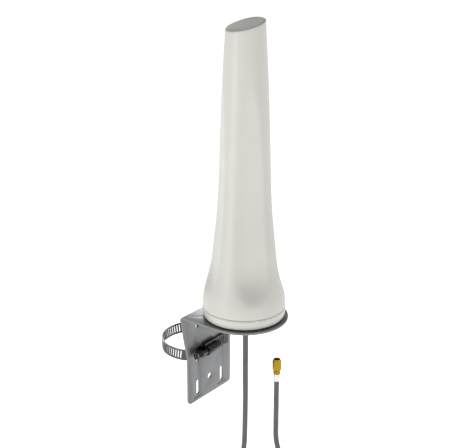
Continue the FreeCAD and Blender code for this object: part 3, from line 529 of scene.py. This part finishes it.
class ANTENNA_OT_stage(bpy.types.Operator):
    """Set the floor, the soft lights and the camera"""
    bl_idname = "antenna.stage"
    bl_label = "Stage"

    def execute(self, context):
        look = view()
        lens = bpy.data.cameras.new("camera")
        camera = bpy.data.objects.new("camera", lens)
        context.scene.collection.objects.link(camera)
        camera.location = look.camera_place
        camera.rotation_euler = (math.pi / 2 - look.camera_dip, 0, look.camera_turn)
        lens.lens = look.camera_lens
        lens.sensor_width = 36.0
        lens.clip_start = 0.02
        context.scene.camera = camera
        nothing_selected()
        low = CAD_BOX[0][2] - look.floor_gap
        bpy.ops.mesh.primitive_plane_add(size=80.0, location=(0, 0, low))
        floor = context.object
        floor.name = "floor"
        paint, tree, shader, place = new_material("floor")
        shader.inputs["Base Color"].default_value = (0.92, 0.92, 0.92, 1)
        shader.inputs["Roughness"].default_value = 0.9
        shader.inputs["Emission Color"].default_value = (1, 1, 1, 1)
        shader.inputs["Emission Strength"].default_value = 0.92
        floor.data.materials.append(paint)
        world = bpy.data.worlds.new("studio")
        world.use_nodes = True
        world.node_tree.nodes["Background"].inputs["Color"].default_value = (1, 1, 1, 1)
        world.node_tree.nodes["Background"].inputs["Strength"].default_value = 0.31
        context.scene.world = world
        context.scene.view_settings.view_transform = "Standard"
        aim = Vector((0, -0.03, 0.15))
        for name, place, reach, power in (
            ("key", (-1.35, 0.35, 0.16), 0.45, 3.1),
            ("front", (-0.45, -1.25, 0.02), 0.35, 0.7),
            ("back", (0.51, 0.42, 0.40), 0.26, 1.3),
        ):
            lamp = bpy.data.lights.new(name, "AREA")
            lamp.size = reach
            lamp.energy = power
            light = bpy.data.objects.new(name, lamp)
            context.scene.collection.objects.link(light)
            light.location = place
            light.visible_camera = False
            light.rotation_euler = (aim - Vector(place)).to_track_quat("-Z", "Y").to_euler()
        return {"FINISHED"}


class ANTENNA_OT_cable(bpy.types.Operator):
    """Run the coax lead from the grommet through its coil to the plug"""
    bl_idname = "antenna.cable"
    bl_label = "Coax lead"

    def execute(self, context):
        route = cable_route()
        line = bpy.data.curves.new("coax_lead", "CURVE")
        line.dimensions = "3D"
        line.bevel_depth = sizes().cable_diameter / 2
        line.bevel_resolution = 4
        line.resolution_u = 6
        line.use_fill_caps = True
        spline = line.splines.new("NURBS")
        spline.points.add(len(route) - 1)
        for point, place in zip(spline.points, route):
            point.co = (*place, 1)
        spline.order_u = 3
        spline.use_endpoint_u = True
        lead = bpy.data.objects.new("coax_lead", line)
        context.scene.collection.objects.link(lead)
        dress(lead, "cable_jacket", "antenna")
        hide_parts("cable_drop", "cable_coil", "cable_rise")
        return {"FINISHED"}


class ANTENNA_OT_radome(bpy.types.Operator):
    """Finish the radome, the base housing, the gasket and the seal"""
    bl_idname = "antenna.radome"
    bl_label = "Radome and base"

    def execute(self, context):
        radome_shell()
        finished("base_housing", 30)
        finished("base_gasket", 35, 0.0002)
        finished("radome_seal", 60)
        return {"FINISHED"}


class ANTENNA_OT_bracket(bpy.types.Operator):
    """Finish the folded bracket with its punched edges"""
    bl_idname = "antenna.bracket"
    bl_label = "Bracket"

    def execute(self, context):
        finished("mounting_bracket", 30, sizes().sheet_edge, 0.5)
        return {"FINISHED"}


class ANTENNA_OT_clamp(bpy.types.Operator):
    """Finish the pole clamp: band, housing and screw"""
    bl_idname = "antenna.clamp"
    bl_label = "Pole clamp"

    def execute(self, context):
        finished("clamp_band", 30)
        finished("clamp_housing", 30, 0.0005, 0.5)
        finished("clamp_screw", 30, 0.0002, 0.5)
        return {"FINISHED"}


class ANTENNA_OT_plug(bpy.types.Operator):
    """Finish the connector on the end of the lead"""
    bl_idname = "antenna.plug"
    bl_label = "Plug"

    def execute(self, context):
        finished("coupling_nut", 30, 0.0003, 0.5)
        finished("connector_body", 30, 0.0001)
        finished("crimp_ferrule", 30, 0.0001)
        for node in ("snap_ring", "connector_gasket", "connector_insulator", "centre_pin"):
            finished(node, 35)
        return {"FINISHED"}


class ANTENNA_OT_fasteners(bpy.types.Operator):
    """Finish the spigot, its washers and nut, and the cable grommet"""
    bl_idname = "antenna.fasteners"
    bl_label = "Spigot and nut"

    def execute(self, context):
        for node in ("mounting_spigot", "flat_washer", "lock_washer", "jam_nut"):
            finished(node, 30, 0.00015, 0.5)
        finished("cable_grommet", 35, 0.0002)
        finished("coil_ties", 30, 0.0002)
        return {"FINISHED"}


class ANTENNA_OT_inside(bpy.types.Operator):
    """Finish the board, the feed and what holds them in the radome"""
    bl_idname = "antenna.inside"
    bl_label = "Inside"

    def execute(self, context):
        for node in ("inner_coax", "ferrite_beads", "feed_solder", "antenna_board", "upper_radiator",
                     "lower_radiator", "board_holder", "base_screws", "board_screws", "foam_spacer_lower",
                     "foam_spacer_upper"):
            finished(node, 30)
        return {"FINISHED"}


class ANTENNA_PT_panel(bpy.types.Panel):
    """Buttons for the antenna's steps, with boxes for its sizes, colours and view"""
    bl_idname = "ANTENNA_PT_panel"
    bl_label = "Antenna"
    bl_space_type = "VIEW_3D"
    bl_region_type = "UI"
    bl_category = "Antenna"

    def draw(self, context):
        for step in STEPS:
            self.layout.operator(step.bl_idname)
        for group in (context.scene.antenna_sizes, context.scene.antenna_colours, context.scene.antenna_view):
            box = self.layout.box()
            for name in group.bl_rna.properties.keys():
                if name not in ("rna_type", "name"):
                    box.prop(group, name)


STEPS = (ANTENNA_OT_stage, ANTENNA_OT_radome, ANTENNA_OT_bracket, ANTENNA_OT_clamp, ANTENNA_OT_fasteners,
         ANTENNA_OT_plug, ANTENNA_OT_inside, ANTENNA_OT_cable)
GROUPS = (AntennaSizes, AntennaColours, AntennaView)


def register():
    for item in GROUPS + STEPS + (ANTENNA_PT_panel,):
        bpy.utils.register_class(item)
    bpy.types.Scene.antenna_sizes = PointerProperty(type=AntennaSizes)
    bpy.types.Scene.antenna_colours = PointerProperty(type=AntennaColours)
    bpy.types.Scene.antenna_view = PointerProperty(type=AntennaView)


def unregister():
    del bpy.types.Scene.antenna_view
    del bpy.types.Scene.antenna_colours
    del bpy.types.Scene.antenna_sizes
    for item in reversed(GROUPS + STEPS + (ANTENNA_PT_panel,)):
        bpy.utils.unregister_class(item)


def main():
    register()
    build_materials()
    for step in STEPS:
        name = step.bl_idname.split(".")[1]
        getattr(bpy.ops.antenna, name)()
    nothing_selected()


if __name__ == "__main__":
    main()
